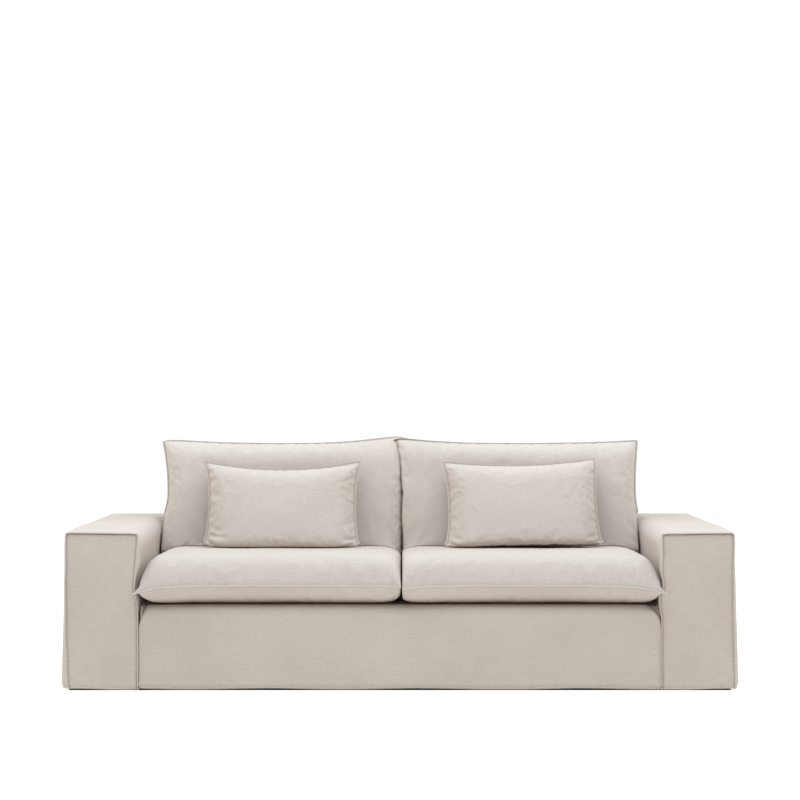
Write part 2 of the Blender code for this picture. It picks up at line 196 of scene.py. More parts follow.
linen = {  # unbleached plain-weave flax, washed and left unpressed
    "colour": "#c3b6ab",
    "shade": "#b7aa9e",
    "light": "#cdc2b8",
    "grooveShade": "#5e4c3e",  # painted shade: the dark colour drawn along a line of stitches, where the groove lies in shade
    "sheen": "#fff6ea",
    "surface": {
        "Roughness": 0.9, "Specular IOR Level": 0.25, "Sheen Weight": 0.12, "Sheen Roughness": 0.6,
    },
    "threadSpacing": 0.0016,  # twice a real thread's 0.8 mm, so that they show
    "threadLong": 14,  # the even stretches of a thread, in spacings
    "slubThick": 0.0028,  # a thick place in the yarn
    "slubLong": 0.048,
    "warpSlubs": 0.6,  # the warp's are fainter and longer than the weft's
    "warpLonger": 1.2,
    "toneSize": 0.35,  # soft patches of a slightly different tone
    "weaveTone": 0.12, "slubTone": 0.22, "patchTone": 0.12,
    "weaveDepth": 0.00022,
    "weaveStrength": 0.55,
    "slubHeight": 0.8,
}


def washedLinen():  # woven flax: matt, with crossing threads, slubs and a soft change of tone, and painted shade along its stitched seams
    sheen = {"Sheen Tint": hexColour(linen["sheen"])}
    material, shader = matt("washedLinen", {**linen["surface"], **sheen})
    tree = material.node_tree
    place = addNode(tree, "TexCoord", {}).outputs["UV"]
    # the flat attribute's z holds the painted shade of the seams' grooves
    flatAndShade = addNode(tree, "Attribute", {"attribute_name": "flat"}).outputs["Vector"]
    grooveShade = addNode(tree, "SeparateXYZ", {"Vector": flatAndShade}).outputs["Z"]

    def clouds(vector, scale, detail, roughness=0.5):
        return addNode(tree, "TexNoise", {
            "noise_dimensions": "2D", "Scale": scale, "Detail": detail, "Roughness": roughness,
            "Vector": vector,
        }).outputs["Fac"]

    def streaks(thick, length, turned, detail, seed):  # yarns: short across and long along
        scale = (1 / thick, 1 / length, 1) if turned else (1 / length, 1 / thick, 1)
        stretched = addNode(tree, "Mapping", {
            "Scale": scale, "Location": (seed, seed * 0.7, 0), "Vector": place,
        }).outputs["Vector"]
        return clouds(stretched, 1.0, detail, 0.55)

    spacing, thick, length = linen["threadSpacing"], linen["slubThick"], linen["slubLong"]
    weft = streaks(spacing, spacing * linen["threadLong"], False, 1.0, 3.1)
    warp = streaks(spacing, spacing * linen["threadLong"], True, 1.0, 8.3)
    weave = maths(tree, "ADD", weft, warp)
    slubWeft = streaks(thick, length, False, 2.0, 1.7)
    slubWarp = streaks(thick, length * linen["warpLonger"], True, 2.0, 5.9)
    slubs = maths(tree, "MULTIPLY_ADD", slubWarp, linen["warpSlubs"], slubWeft)
    patch = clouds(place, 1 / linen["toneSize"], 2.0)

    fine = mapped(tree, weave, (0.7, 1.3), -linen["weaveTone"], linen["weaveTone"])
    coarse = mapped(tree, slubs, (0.55, 1.05), 0.5 - linen["slubTone"], 0.5 + linen["slubTone"])
    broad = mapped(tree, patch, (0.3, 0.7), -linen["patchTone"], linen["patchTone"])
    mixed = maths(tree, "ADD", maths(tree, "ADD", fine, coarse), broad)
    ramp = addNode(tree, "ValToRGB", {"Fac": mixed})
    ramp.color_ramp.elements[0].color = hexColour(linen["shade"])
    ramp.color_ramp.elements[1].color = hexColour(linen["light"])
    ramp.color_ramp.elements.new(0.5).color = hexColour(linen["colour"])
    # painted shade: the dark groove colour is mixed in as far as the seams' painted shade reaches
    withPaintedShade = addNode(tree, "Mix", {
        "data_type": "RGBA", 0: grooveShade, 6: ramp.outputs["Color"], 7: hexColour(linen["grooveShade"]),
    }).outputs[2]
    tree.links.new(withPaintedShade, shader.inputs["Base Color"])

    height = maths(tree, "MULTIPLY_ADD", slubs, linen["slubHeight"], weave)
    bump = addNode(tree, "Bump", {
        "Strength": linen["weaveStrength"], "Distance": linen["weaveDepth"], "Height": height,
    }).outputs["Normal"]
    tree.links.new(bump, shader.inputs["Normal"])
    return material


washedLinenCloth = washedLinen()
sides = {1: ("Right", "_right"), 0: ("", ""), -1: ("Left", "_left")}  # endings of names


def addObject(name, data):
    made = bpy.data.objects.new(name, data)
    scene.collection.objects.link(made)
    return made


def addPiece(name, nodeName, side, bm):
    if side < 0:  # the mirror image
        bmesh.ops.scale(bm, vec=(-1, 1, 1), verts=bm.verts)
        bmesh.ops.reverse_faces(bm, faces=bm.faces)
    name += sides[side][0]
    flat = bm.verts.layers.float_vector["flat"]
    uv = bm.loops.layers.uv.new("cut")  # each piece's own cloth, in metres along weft and warp
    for face in bm.faces:
        for loop in face.loops:
            loop[uv].uv = loop.vert[flat].xy
    mesh = bpy.data.meshes.new(name)
    bm.to_mesh(mesh)
    bm.free()
    mesh.materials.append(washedLinenCloth)
    mesh.shade_smooth()
    piece = addObject(name, mesh)
    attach(piece, "root")
    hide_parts(nodeName + sides[side][1])
    return piece


def addSheet(name, nodeName, side, bm):
    piece = addPiece(name, nodeName, side, bm)
    layer = piece.modifiers.new("layer", "SOLIDIFY")
    layer.thickness = cloth["thick"]
    layer.offset = -1


def addCreases(bm, creases):  # rows in mm on the flat cloth: from x, y, to x, y, width and lift
    flat = bm.verts.layers.float_vector["flat"]
    lines = []
    for row in creases:
        startX, startY, endX, endY, wide, rise = (value / 1000 for value in row)
        start = Vector((startX, startY))
        lines.append((start, Vector((endX, endY)) - start, wide, rise))
    bm.normal_update()
    for v in bm.verts:
        place, lift = v[flat].xy, 0.0
        for start, run, wide, rise in lines:
            share = min(1.0, max(0.0, (place - start).dot(run) / run.length_squared))
            away = (place - start - run * share).length / wide
            lift += rise * math.exp(-away * away) * (1 - abs(2 * share - 1) ** 3)
        v.co += v.normal * lift


def makeWaves(bm, seams):
    bm.normal_update()
    for v in bm.verts:
        fade = smooth(0, cloth["waveFade"], seams(v.co))
        v.co += v.normal * uneven(v.co.x + v.co.y, v.co.z) * fade


def settleHem(bm):
    bm.normal_update()
    for v in bm.verts:
        if v.co.z < hem["deep"]:
            outward = Vector((v.normal.x, v.normal.y, 0)).normalized()
            v.co += outward * between(hem["lip"], v.co.z)
            v.co.z += hemRise(v.co.x + v.co.y) * (1 - smooth(0, hem["deep"], v.co.z))


def divided(start, end, pitch):
    count = max(1, round((end - start).length / pitch))
    return [start.lerp(end, i / count) for i in range(1, count + 1)]


def sectionPoints(rows, pitch=cloth["pitch"]):  # rows of out, up and the radius of a round corner
    corners = [Vector((out, up)) for out, up, radius in rows]
    points = [corners[0]]
    for i in range(1, len(rows)):
        radius = rows[i][2]
        if radius == 0:
            points += divided(points[-1], corners[i], pitch)
            continue
        back = (corners[i - 1] - corners[i]).normalized()
        ahead = (corners[i + 1] - corners[i]).normalized()
        halfTurn = back.angle(ahead) / 2
        centre = corners[i] + (back + ahead).normalized() * radius / math.sin(halfTurn)
        reach = radius / math.tan(halfTurn)
        first, last = corners[i] + back * reach - centre, corners[i] + ahead * reach - centre
        points += divided(points[-1], centre + first, pitch)
        for step in range(1, cloth["arcSteps"] + 1):
            spoke = first.slerp(last, step / cloth["arcSteps"]).normalized()
            points.append(centre + spoke * radius)
    return points


def throughHem(low, high):  # section rows from the hem's edge up to its stitched top
    return tuple((low + (high - low) * up / hem["deep"], up, 0) for up, out in hem["lip"])


def runningLength(points):
    along = [0.0]
    for start, end in zip(points, points[1:]):
        along.append(along[-1] + (end - start).length)
    return along


def sweptSheet(points, stations, place):
    bm = bmesh.new()
    flat = bm.verts.layers.float_vector.new("flat")
    columns, rows = len(points) - 1, len(stations) - 1
    bmesh.ops.create_grid(bm, x_segments=columns, y_segments=rows, size=1)
    along = runningLength(points)
    for v in bm.verts:
        i, j = round((v.co.x + 1) / 2 * columns), round((v.co.y + 1) / 2 * rows)
        v[flat] = Vector((stations[j], along[i], 0))
        v.co = place(points[i], stations[j])
    return bm


inner, outer, hemTop = cover["armIn"], cover["armOut"], hem["deep"]
armSection = (  # from the hem inside, up, over the arm's top and down to the hem outside
    (inner, 0.0, 0), (inner, hemTop, 0), (inner, cover["backFoot"], 0),
    (inner + 0.007, 0.37, 0), (inner + 0.005, 0.455, 0),
    (inner, cover["armTop"], cover["armRound"]), (outer, cover["armTop"], cover["outerRound"]),
    (outer + 0.007, 0.36, 0), (outer + 0.013, 0.14, 0), (outer + 0.016, hemTop + 0.002, 0),
)
armHemTop, armHemEdge = (outer + 0.017, hemTop, 0), (outer + 0.011, 0.0, 0)

welt = {  # the sewn fin that outlines an arm's end
    "proud": 0.0036,  # before its rounded tip
    "shadeTop": 0.75,  # how much painted shade the groove gets along the top seam, and along the sides
    "shadeSide": 0.18,
    "topBand": (0.006, 0.016),  # the one goes over to the other this far below the top
    # the painted shade grows over this depth of the groove, and comes in patches
    "grooveDeep": (0.0003, 0.0018),
    "patchy": 0.9,
    "patchScale": 11,
    "wander": 0.0009,
    "wanderScale": 9,
    "panelWander": 0.3,  # this share of it on the panel
    "rings": (  # across and rise: over the fin, into the groove, onto the panel
        (0.0006, 0.001), (0.0012, 0.0004), (0.0012, -0.0004), (0.0006, -0.0011),
        (0.0005, -0.0028), (0.0008, -0.0024), (0.0012, -0.0002), (0.0014, 0.0008),
        (0.0018, 0.0008), (0.003, 0.0004), (0.004, 0.0003),
    ),
}

armLook = {
    "outerSeam": {  # height, and how far the front's outer seam is off the widest section
        1: ((0, -0.012), (0.13, -0.013), (0.27, -0.012), (0.4, -0.009), (0.54, -0.002)),
        -1: ((0, -0.025), (0.09, -0.019), (0.22, -0.011), (0.4, -0.005), (0.54, -0.001)),
    },
    "innerSeam": {  # and how the inner one wanders where the seat cushion presses on it
        1: ((0.24, 0), (0.325, -0.012), (0.378, -0.001), (0.42, -0.007), (0.5, -0.001)),
        -1: ((0.24, 0.001), (0.3, 0.002), (0.355, 0.008), (0.42, 0.003), (0.5, 0)),
    },
    "topDrop": {1: 0.006, -1: 0.005},
    "dropFrom": 0.3,  # the top seam's drop starts at this height
    "outerDrop": 0.4,  # and is this share less outside
    "innerCorner": {"round": cover["armRound"], "square": 0.78},  # squarer than the arm's edge
    "outerCorner": {"round": cover["outerRound"], "square": 0.35},
    "ends": 0.03,  # between these margins the inner side's shift goes over to the outer's
    "shiftFade": 0.11,  # behind the seam the wrap takes its own section over this distance
    "outerFade": 0.028,
    "dropFade": 0.03,
    "softEdge": 0.06,  # there its inner top edge is rounder as well
    "softEnd": 0.05,
}


def squared(out, up, fromX, way, corner):  # moves a round corner's points out towards a square one
    across, above = (fromX - out) * way + corner["round"], up - cover["armTop"] + corner["round"]
    if across <= 0 or above <= 0:
        return 0.0, 0.0
    more = (math.hypot(across, above) / max(across, above) - 1) * corner["square"]
    return -way * across * more, above * more


def softEdge(co, start, notch):  # the padding gives way under the arm's inner top edge
    radius = armLook["softEdge"]
    share = smooth(0, armLook["shiftFade"], co.y - start)
    share *= smooth(0, armLook["softEnd"], notch - co.y)
    spoke = Vector((cover["armIn"] + radius - co.x, 0, co.z - cover["armTop"] + radius))
    if spoke.x > 0 and spoke.z > 0 and spoke.length > radius:
        pull = (1 - radius / spoke.length) * share
        co.x += spoke.x * pull
        co.z -= spoke.z * pull


def outerShare(out):
    return smooth(cover["armIn"] + armLook["ends"], cover["armOut"] - armLook["ends"], out)


def armShift(side, out, up):  # how the end seam of an arm differs from its section
    share = outerShare(out)
    innerMove = between(armLook["innerSeam"][side], up)
    outerMove = between(armLook["outerSeam"][side], up)
    drop = armLook["topDrop"][side] * (1 - armLook["outerDrop"] * share)
    drop *= smooth(armLook["dropFrom"], cover["armTop"], up)
    inX, inZ = squared(out, up, cover["armIn"], 1, armLook["innerCorner"])
    outX, outZ = squared(out, up, cover["armOut"], -1, armLook["outerCorner"])
    return innerMove * (1 - share) + outerMove * share + inX + outX, inZ + outZ - drop


wrapCreases = {  # measured along the arm, then from its inner edge over the top
    1: (
        (-470, 100, -380, 125, 10, -2.2), (-480, 135, -430, 175, 9, 1.8),
        (-400, 300, 100, 310, 60, 2.2),
    ),
    -1: (
        (-485, 105, -390, 155, 10, -5.8), (-485, 132, -400, 190, 10, 5),
        (-480, 165, -420, 215, 10, -4.4), (-380, 290, 180, 300, 50, 2.2),
    ),
}

borderLook = {
    "tucks": {  # the corner that rolls in, and the small fold that stands in it
        1: {"foot": 0.225, "wide": 0.046, "power": 2.6, "deep": 0.02, "soft": 0.004,
            "foldAt": 0.003, "foldWide": 0.004, "foldLift": 0.01},
        -1: {"foot": 0.232, "wide": 0.026, "power": 1.2, "deep": 0.024, "soft": 0.003,
             "foldAt": 0.006, "foldWide": 0.006, "foldLift": 0.018},
    },
    "tuckFade": (0.05, 0.1),  # behind the front
    "sag": 0.15,
    "rollFade": 0.25, "foldRise": 3,  # how soon the roll and the fold start above the foot
    "pitch": 0.01, "seamPitch": 0.0022,
    "wanderFade": 0.02,
    "hemEdge": 0.0018, "hemTop": -0.0012,  # the hem leans in towards its edge
    "creases": ((-860, 45, -780, 40, 10, 1.2), (-400, 250, 350, 245, 50, 1.6)),
}


def armWrap(side):
    start = cover["frontY"] + cloth["cadThick"] + cloth["seamGap"]
    end = cover["rearY"]
    notch = cover["insideBackY"] + cover["rake"] + cover["turnUnder"] / 2
    stations = seamStops(start, notch) + seamStops(notch, end)[1:]
    rows = armSection[2:] + throughHem(armHemEdge[0], armHemTop[0])[::-1]
    bm = sweptSheet(sectionPoints(rows), stations, lambda point, y: Vector((point.x, y, point.y)))
    behind = []
    for face in bm.faces:
        middle = face.calc_center_median()
        low = middle.z < cover["armTop"] - cover["armRound"]
        if middle.y > notch and middle.x < cover["armIn"] + cover["turnUnder"] and low:
            behind.append(face)
    bmesh.ops.delete(bm, geom=behind, context="FACES")
    makeWaves(bm, lambda co: min(
        co.y - start, end - co.y, 2 * co.z, co.x - cover["armIn"] - armLook["ends"]
    ))
    settleHem(bm)
    for v in bm.verts:
        reach = armLook["outerFade"] - armLook["shiftFade"]
        reach = armLook["shiftFade"] + reach * outerShare(v.co.x)
        fade = 1 - smooth(0, reach, v.co.y - start)
        across, drop = armShift(side, v.co.x, v.co.z)
        v.co.x += across * fade
        v.co.z += drop * (1 - smooth(0, armLook["dropFade"], v.co.y - start))
        softEdge(v.co, start, notch)
    addCreases(bm, wrapCreases[side])
    addSheet("armWrap", "arm_wrap", side, bm)


def cutThrough(bm, axis, cuts, clear=False):
    for cut in cuts:
        everything = bm.verts[:] + bm.edges[:] + bm.faces[:]
        bmesh.ops.bisect_plane(
            bm, geom=everything, plane_co=axis * cut, plane_no=axis, clear_inner=clear
        )


def panel(outline, cutsAcross, cutsUp, placed, welted):  # flat, and with its fin if welted
    bm = bmesh.new()
    low = -cloth["cadThick"] if welted else 0.0
    face = bm.faces.new([bm.verts.new((point.x, point.y, low)) for point in outline])
    face.normal_update()
    if face.normal.z < 0:
        face.normal_flip()
    if welted:
        raised = bmesh.ops.extrude_face_region(bm, geom=[face], use_keep_orig=True)["geom"]
        lifted = [item for item in raised if isinstance(item, bmesh.types.BMVert)]
        bmesh.ops.translate(bm, vec=(0, 0, cloth["cadThick"] + welt["proud"]), verts=lifted)
        base = [f for f in bm.faces if all(v.co.z < low + 1e-6 for v in f.verts)]
        bmesh.ops.delete(bm, geom=base, context="FACES_ONLY")
        top = [f for f in bm.faces if f.normal.z > 0.5 or all(v in lifted for v in f.verts)]
        for across, rise in welt["rings"]:
            bmesh.ops.inset_region(
                bm, faces=top, thickness=across, depth=rise,
                use_boundary=True, use_even_offset=True,
            )
    cutThrough(bm, xAxis, cutsAcross)
    cutThrough(bm, yAxis, cutsUp)
    if welted:
        cutThrough(bm, yAxis, (0.0,), clear=True)
    flat = bm.verts.layers.float_vector.new("flat")
    xs = [v.co.x for v in bm.verts]
    left, right, top = min(xs), max(xs), max(v.co.y for v in bm.verts)
    for v in bm.verts:
        near = min(v.co.x - left, right - v.co.x, top - v.co.y)
        # painted shade: the groove is painted darker, most along the top seam and in patches, kept
        # in the flat attribute's z
        atTop = 1 - smooth(*welt["topBand"], top - v.co.y)
        shade = welt["shadeSide"] + (welt["shadeTop"] - welt["shadeSide"]) * atTop
        patch = cloud(v.co.x * welt["patchScale"], v.co.y * welt["patchScale"], 6.1)
        shade *= 1 + welt["patchy"] * patch
        v[flat] = Vector((v.co.x, v.co.y, smooth(*welt["grooveDeep"], -v.co.z) * shade))
        if welted:
            v.co.z += uneven(v.co.x, v.co.y) * smooth(0, cloth["waveFade"], near)
    bmesh.ops.transform(bm, matrix=placed, verts=bm.verts)
    return bm


def panelFrame(across, up, out, origin):
    turn = Matrix((across, up, out)).transposed().to_4x4()
    return Matrix.Translation(origin) @ turn


def finWander(co):  # a sewn edge is never quite straight
    scale = welt["wanderScale"]
    shift = noise.noise_vector(Vector((co.x * scale, 3.3, co.z * scale)))
    return Vector((shift.x, 0, shift.z)) * welt["wander"]


def hemCuts(top, pitch=cloth["pitch"]):
    return [up for up, out in hem["lip"][1:]] + stops(hem["deep"], top, pitch)[1:-1]


def armEnd(name, nodeName, side, out, y):
    rows = armSection[:1] + armSection[2:] + (armHemTop, armHemEdge)
    outline = sectionPoints(rows, pitch=cloth["coarsePitch"])
    for point in outline:
        if point.y == 0:
            point.y = -cloth["overCut"]
    across = zAxis.cross(out)
    if across.x < 0:
        outline = [Vector((-point.x, point.y)) for point in outline]
    low = across.x * (cover["armIn"] + cloth["inset"])
    high = across.x * (cover["armOut"] - cloth["inset"])
    cutsUp = hemCuts(cover["armTop"] - cloth["inset"])
    placed = panelFrame(across, zAxis, out, yAxis * y)
    bm = panel(outline, stops(low, high, cloth["pitch"]), cutsUp, placed, True)
    settleHem(bm)
    isFront = out.y < 0
    for v in bm.verts:
        if isFront:
            shiftAcross, drop = armShift(side, v.co.x, v.co.z)
            v.co.x += shiftAcross
            v.co.z += drop
        raised = (v.co.y - y) * out.y > 0.001
        v.co += finWander(v.co) * (1 if raised else welt["panelWander"])
    addSheet(name, nodeName, side, bm)


def borderTuck(co, side):  # the border's top corner rolls in beside the arm's seam
    row = borderLook["tucks"][side]
    fromEnd = cover["reach"] - abs(co.x)
    share = max(0.0, (co.z - row["foot"]) / (cover["deckTop"] - row["foot"]))
    curve = row["wide"] * share ** row["power"]
    inside = smooth(-row["soft"], row["soft"], curve - fromEnd)
    inside *= smooth(0, borderLook["rollFade"], share)
    fold = math.exp(-((fromEnd - row["foldAt"]) / row["foldWide"]) ** 2)
    low, high = (cover["frontY"] + back for back in borderLook["tuckFade"])
    front = 1 - smooth(low, high, co.y)
    fold *= row["foldLift"]
    return (row["deep"] - fold * min(1.0, share * borderLook["foldRise"])) * inside * front


def frontBorder():
    reach, frontY = cover["reach"], cover["frontY"]
    rows = throughHem(frontY + borderLook["hemEdge"], frontY + borderLook["hemTop"]) + (
        (frontY, hem["deep"] + 0.002, 0),
        (frontY, cover["deckTop"], cover["deckRound"]),
        (frontY + cover["borderReturn"], cover["deckTop"], 0),
    )
    points = sectionPoints(rows, pitch=borderLook["pitch"])
    stations = seamStops(reach, -reach, fine=borderLook["seamPitch"])
    bm = sweptSheet(points, stations, lambda point, x: Vector((x, point.x, point.y)))
    makeWaves(bm, lambda co: min(
        reach - abs(co.x), cover["deckTop"] - cover["deckRound"] - co.z, co.z
    ))
    settleHem(bm)
    addCreases(bm, borderLook["creases"])
    for v in bm.verts:
        tuck = borderTuck(v.co, 1 if v.co.x > 0 else -1)
        v.co.y += tuck
        v.co.z -= tuck * borderLook["sag"]
        v.co += finWander(v.co) * (1 - smooth(0, borderLook["wanderFade"], reach - abs(v.co.x)))
    addSheet("frontBorder", "front_border", 0, bm)


def backSection(foot, footOut):
    return (
        (cover["insideBackY"] + footOut, foot, 0),
        (cover["insideBackY"] + cover["rake"], cover["backTop"], cover["backRound"]),
        (cover["rearY"], cover["backTop"], 0),
    )


def insideBack():
    reach = cover["armIn"] - cloth["cadThick"] - 2 * cloth["seamGap"]
    points = sectionPoints(backSection(cover["backFoot"], 0.0))
    bm = sweptSheet(
        points, seamStops(reach, -reach), lambda point, x: Vector((x, point.x, point.y))
    )
    addSheet("insideBack", "inside_back", 0, bm)


def deck():
    reach = cover["reach"]
    front = cover["frontY"] + cover["borderReturn"] + cloth["seamGap"]
    rear = cover["insideBackY"] - cloth["seamGap"]
    points = [Vector((x, 0)) for x in stops(-reach, reach, cloth["coarsePitch"])]
    bm = sweptSheet(
        points, stops(front, rear, cloth["coarsePitch"]),
        lambda point, y: Vector((point.x, y, cover["deckTop"])),
    )
    addSheet("deckCloth", "deck", 0, bm)


def backGusset(side):
    foot, bottom = cover["armTop"] - cover["turnUnder"], cover["backFoot"]
    rake = cover["rake"] * (foot - bottom) / (cover["backTop"] - bottom)
    outline = sectionPoints(backSection(foot, rake), pitch=1.0)
    outline.append(Vector((outline[-1].x, foot)))
    placed = panelFrame(yAxis, zAxis, xAxis, xAxis * cover["reach"])
    inset = 0.01
    across = stops(cover["insideBackY"] + inset, cover["backY"] - inset, cloth["pitch"])
    up = stops(foot + inset, cover["backTop"] - inset, cloth["pitch"])
    bm = panel(outline, across, up, placed, False)
    addSheet("backGusset", "back_gusset", side, bm)


def outsideBack():
    reach = cover["reach"]
    top, low = cover["backTop"], -cloth["overCut"]
    outline = [Vector(c) for c in ((-reach, low), (-reach, top), (reach, top), (reach, low))]
    placed = panelFrame(-xAxis, zAxis, yAxis, yAxis * cover["backY"])
    inset, pitch = cloth["inset"], cloth["backPitch"]
    bm = panel(
        outline, stops(-reach + inset, reach - inset, pitch), hemCuts(top - inset, pitch),
        placed, True,
    )
    settleHem(bm)
    addSheet("outsideBack", "outside_back", 0, bm)


def buildCover():
    for side in (1, -1):
        armEnd("armFront", "arm_front", side, -yAxis, cover["frontY"])
        armEnd("armBack", "arm_back", side, yAxis, cover["backY"])
        armWrap(side)
        backGusset(side)
    frontBorder()
    deck()
    insideBack()
    outsideBack()
    print("body cover done")


seatCushion = {
    "name": "seatCushion", "node": "seat_cushion", "pitch": 0.0092, "fill": 0.75,
    "surplus": 0.02, "slack": 0.0016, "slump": 0,
    # painted shade in the groove, and on the fin along the top and along the sides
    "grooveShade": 0.16, "topFinShade": 0.02, "sideFinShade": 0.02,
    "halfWide": 0.4725, "halfLong": 0.425, "lean": 90, "turn": 0,
    "middle": (0.455, -0.1, 0.369), "crown": 0.102, "belly": 0.072, "fullness": (13, 24),
    "lowFullness": (13, 11), "sideFullness": (22, 24),
    "drawIn": -0.017, "drawOut": 0, "drawLow": 0.01, "drawHigh": 0.01, "flattenRear": 0.11,
    "corners": (
        ("in", "low", {"off": -0.018}),
        ("out", "low", {"out": 0.017, "off": -0.031}),
        ("in", "high", {"off": -0.02}),
        ("out", "high", {"out": -0.006, "off": -0.02}),
    ),
    "puckers": {"in": 0.0016, "out": 0.0016, "low": 0.001, "high": 0.001},
    "creases": {  # measured outwards from the middle, then from the low end
        1: ((90, 60, 135, 10, 8, -4), (995, 35, 930, 55, 8, -3)),
        -1: ((125, 20, 75, 4, 8, -3), (1020, 30, 955, 55, 8, -3)),
    },
}
backCushion = {
    "name": "backCushion", "node": "back_cushion", "pitch": 0.008, "fill": 0.65,
    "surplus": 0.038, "slack": 0.0036, "slump": 0.06,
    # painted shade in the groove, and on the fin along the top and along the sides
    "grooveShade": 0.5, "topFinShade": 0.3, "sideFinShade": 0.1,
    "halfWide": 0.4815, "halfLong": 0.219, "lean": 14.5, "turn": 0,
    "middle": (0.464, 0.258, 0.65), "crown": 0.116, "belly": 0.1, "fullness": (8.2, 8),
    "lowFullness": (26, 8), "sideFullness": (24, 8),
    "drawIn": -0.024, "drawOut": 0.018, "drawLow": 0.01, "drawHigh": 0.01, "flattenRear": 0,
    "corners": (
        ("in", "low", {"out": 0.01, "along": 0.056}),
        ("out", "low", {"out": 0.048, "along": 0.006, "power": 1.6}),
        ("in", "high", {"along": 0.014, "off": 0.022, "power": 4, "trim": 0}),
        ("in", "high", {"out": 0.018, "along": -0.01, "off": 0.036, "power": 9,
         "trim": 0.014, "tipPower": 22}),
        ("out", "high", {"out": -0.002, "along": 0.004}),
    ),
    "puckers": {"in": 0.0034, "out": 0.0026, "low": 0.001, "high": 0.0006},
    "creases": {
        1: (
            (50, 550, 124, 502, 8, -3.4), (85, 488, 142, 456, 8, -2.8),
            (202, 491, 226, 239, 26, 2.8), (994, 419, 930, 400, 9, -2.2),
            (990, 378, 930, 366, 10, 1), (983, 338, 920, 325, 9, -2.2),
        ),
        -1: (
            (160, 392, 85, 398, 8, -4), (158, 340, 85, 343, 7, -3.4), (155, 279, 85, 280, 7, -3.4),
            (150, 258, 80, 232, 9, -5), (188, 500, 203, 240, 24, 2.8),
            (1037, 441, 961, 381, 10, -3), (880, 520, 800, 340, 40, -3),
        ),
    },
}
lumbarCushion = {
    "name": "lumbarCushion", "node": "lumbar_cushion", "pitch": 0.0062, "fill": 0.6,
    "surplus": 0.03, "slack": 0.0026, "slump": 0.048,
    # painted shade in the groove, and on the fin along the top and along the sides
    "grooveShade": 0.46, "topFinShade": 0.34, "sideFinShade": 0.02,
    "halfWide": 0.3, "halfLong": 0.178, "lean": 20, "turn": 1.3,
    "middle": (0.466, 0.062, 0.626), "crown": 0.078, "belly": 0.072, "fullness": (5.6, 4.6),
    "lowFullness": (11, 4.6), "sideFullness": (8, 4.6),
    "drawIn": 0.019, "drawOut": 0.014, "drawLow": 0.01, "drawHigh": 0.022, "flattenRear": 0,
    "corners": (
        ("in", "low", {"out": 0.018, "along": -0.016, "off": 0.02, "power": 12,
         "trim": 0.01, "tipPower": 22}),
        ("out", "low", {"out": 0.016, "along": -0.012, "off": 0.016, "power": 11,
         "trim": 0.008, "tipPower": 22}),
        ("in", "high", {"out": 0.001}),
        ("out", "high", {"out": -0.007}),
    ),
    "puckers": {"in": 0.0022, "out": 0.0022, "low": 0.0016, "high": 0.0004},
    "creases": {
        1: (
            (62, 365, 20, 384, 7, -3.6), (80, 346, 8, 349, 7, -3.8), (6, 344, 18, 300, 7, -2.6),
            (18, 112, 90, 90, 7, -4.4), (20, 92, 100, 76, 8, 3.4), (15, 72, 112, 60, 7, -4.4),
            (622, 389, 554, 353, 8, -3.2), (626, 360, 560, 342, 8, -2.8),
            (621, 100, 540, 90, 8, -4), (632, 68, 532, 62, 9, -3.6),
        ),
        -1: (
            (612, 147, 532, 135, 6.5, -6.8), (606, 132, 545, 123, 7, 4.6),
            (600, 118, 500, 106, 7, -5.2), (600, 101, 535, 87, 9, 3.6), (602, 86, 545, 62, 6, -5.6),
            (95, 400, 20, 402, 7, -2.8), (80, 332, 12, 340, 7, -3.6), (80, 291, 10, 300, 7, -3.2),
            (88, 101, 22, 92, 6, -6.4), (100, 82, 34, 86, 7, 3.4), (116, 60, 40, 74, 6, -5.6),
        ),
    },
}
leftSeat = {
    "corners": (("in", "low", {"off": -0.004}),) + seatCushion["corners"][1:],
}
leftBack = {
    "drawOut": 0.031,
    "corners": (
        ("in", "low", {"out": 0.01, "along": 0.056}),
        ("out", "low", {"out": 0.054, "along": 0.006, "power": 1.6}),
        ("in", "high", {"along": 0.046, "off": -0.04, "power": 3.4, "trim": 0}),
        ("in", "high", {"out": 0.018, "along": -0.012, "off": -0.014, "power": 9,
         "trim": 0.014, "tipPower": 26}),
        ("out", "high", {"out": -0.002, "along": 0.01, "power": 3, "trim": 0}),
        ("out", "high", {"along": -0.012, "power": 14}),
    ),
}
leftLumbar = {
    "middle": (0.451, 0.062, 0.62), "turn": 0, "drawIn": 0.018, "drawOut": 0.018,
    "drawLow": 0.002, "drawHigh": 0.034,
    "corners": (
        ("in", "low", {"out": 0.02, "along": -0.024, "off": 0.03, "power": 12,
         "trim": 0.01, "tipPower": 20}),
        ("out", "low", {"out": 0.013, "along": -0.034, "off": 0.03, "power": 10,
         "trim": 0.01, "tipPower": 20}),
        ("in", "high", {"out": 0.01, "along": 0.008, "power": 9, "trim": 0.008, "tipPower": 34}),
        ("out", "high", {"out": 0.015, "along": 0.003, "power": 9, "trim": 0.008, "tipPower": 34}),
    ),
}

fin = {  # the knife-edge seam that stands out all round each cushion
    "wide": 0.007,
    "steps": 2,
    "crowding": 0.65,  # how far the mesh crowds towards the seams
    "baseHalf": 0.0007,  # half its thickness at the stitches, and at its rounded middle
    "middleHalf": 0.0014,
    "earPower": 6,  # an ear's own bend dies out quickly from the corner
    "earTrim": 0.004,  # and its tip is turned a little round
    "tipPower": 48,
    "wander": 0.0022,
    "wanderScale": 9,
    "wanderFrom": 0.93,  # of the way out from the middle
    "roundness": 1.1,
    # how far the painted groove shade spreads beside a seam
    "shadeWide": 0.0022,
    "puckerSpacing": 0.021,
    "puckerReach": 0.016,
    "puckerEnd": 0.12,
    "puckerTurn": 8,  # how fast a row of puckers changes inwards
    "patchScale": 7,  # puckers come in patches
    "patchShare": (0.7, 0.9),  # the mean, and how far they vary
    "slackWaves": ((7, 1), (15, 2.2)),  # how many soft swellings to the metre, and how slight
    "slackFrom": 0.06,
    "rearCloth": 2,  # the rear is cut from the cloth this much further up
}

